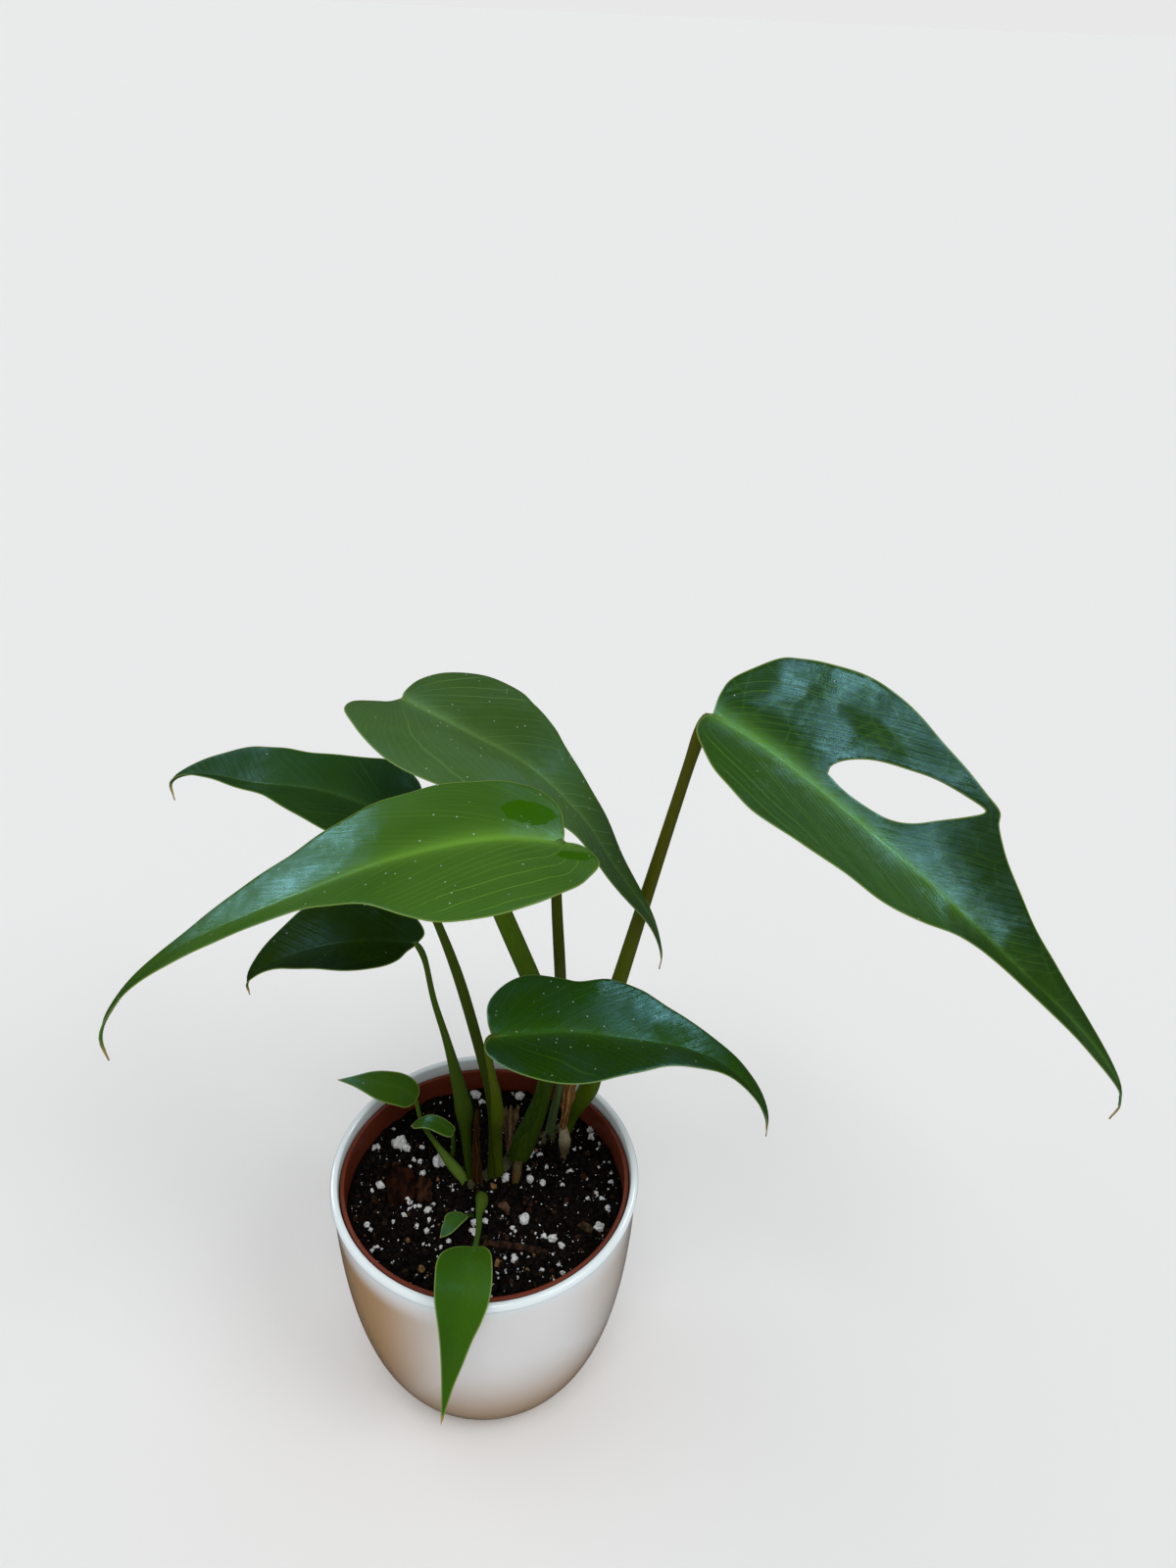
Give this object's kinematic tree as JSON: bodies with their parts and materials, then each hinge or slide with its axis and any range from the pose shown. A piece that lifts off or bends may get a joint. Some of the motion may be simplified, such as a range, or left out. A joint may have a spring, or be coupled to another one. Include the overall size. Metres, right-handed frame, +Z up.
{
  "type": "potted burle marx flame monstera",
  "caption": "Potted climbing aroid with long narrow waved leaves, one of them slotted, on slender petioles, rooted in a brown nursery pot inside a rounded glossy white pot.",
  "frame": {"origin": "centre of the outer pot's flat base, on the surface it stands on", "axes": "+Z up; +X to the right and -Y towards the viewer of the side that the picture shows"},
  "size_m": [0.3953, 0.2051, 0.353],
  "materials": {
    "glaze": "gloss",
    "nursery_pot": "satin",
    "soil": "matte",
    "leaf": "satin",
    "young_leaf": "satin",
    "petiole": "satin",
    "stem": "satin",
    "dry_sheath": "matte",
    "root": "matte",
    "bark": "matte"
  },
  "bodies": {
    "root": {"stem": "stem", "leaf_a": "leaf", "leaf_b": "leaf", "leaf_c": "leaf", "leaf_d": "leaf", "leaf_e": "leaf", "leaf_f": "leaf", "leaf_g": "young_leaf", "leaf_h": "young_leaf", "leaf_i": "young_leaf", "leaf_j": "young_leaf", "petiole_a": "petiole", "petiole_b": "petiole", "petiole_c": "petiole", "petiole_d": "petiole", "petiole_e": "petiole", "petiole_f": "petiole", "petiole_g": "petiole", "petiole_h": "petiole", "petiole_i": "petiole", "petiole_j": "petiole", "root_right": "root", "root_middle": "root", "sheath_right": "dry_sheath", "sheath_middle": "dry_sheath", "sheath_left": "dry_sheath", "bark_chip_large": "bark", "bark_chip_small": "bark", "bark_stick": "bark", "wood_bit_middle": "bark", "wood_bit_right": "bark", "soil": "soil", "nursery_pot": "nursery_pot", "outer_pot": "glaze"}
  },
  "joints": []
}
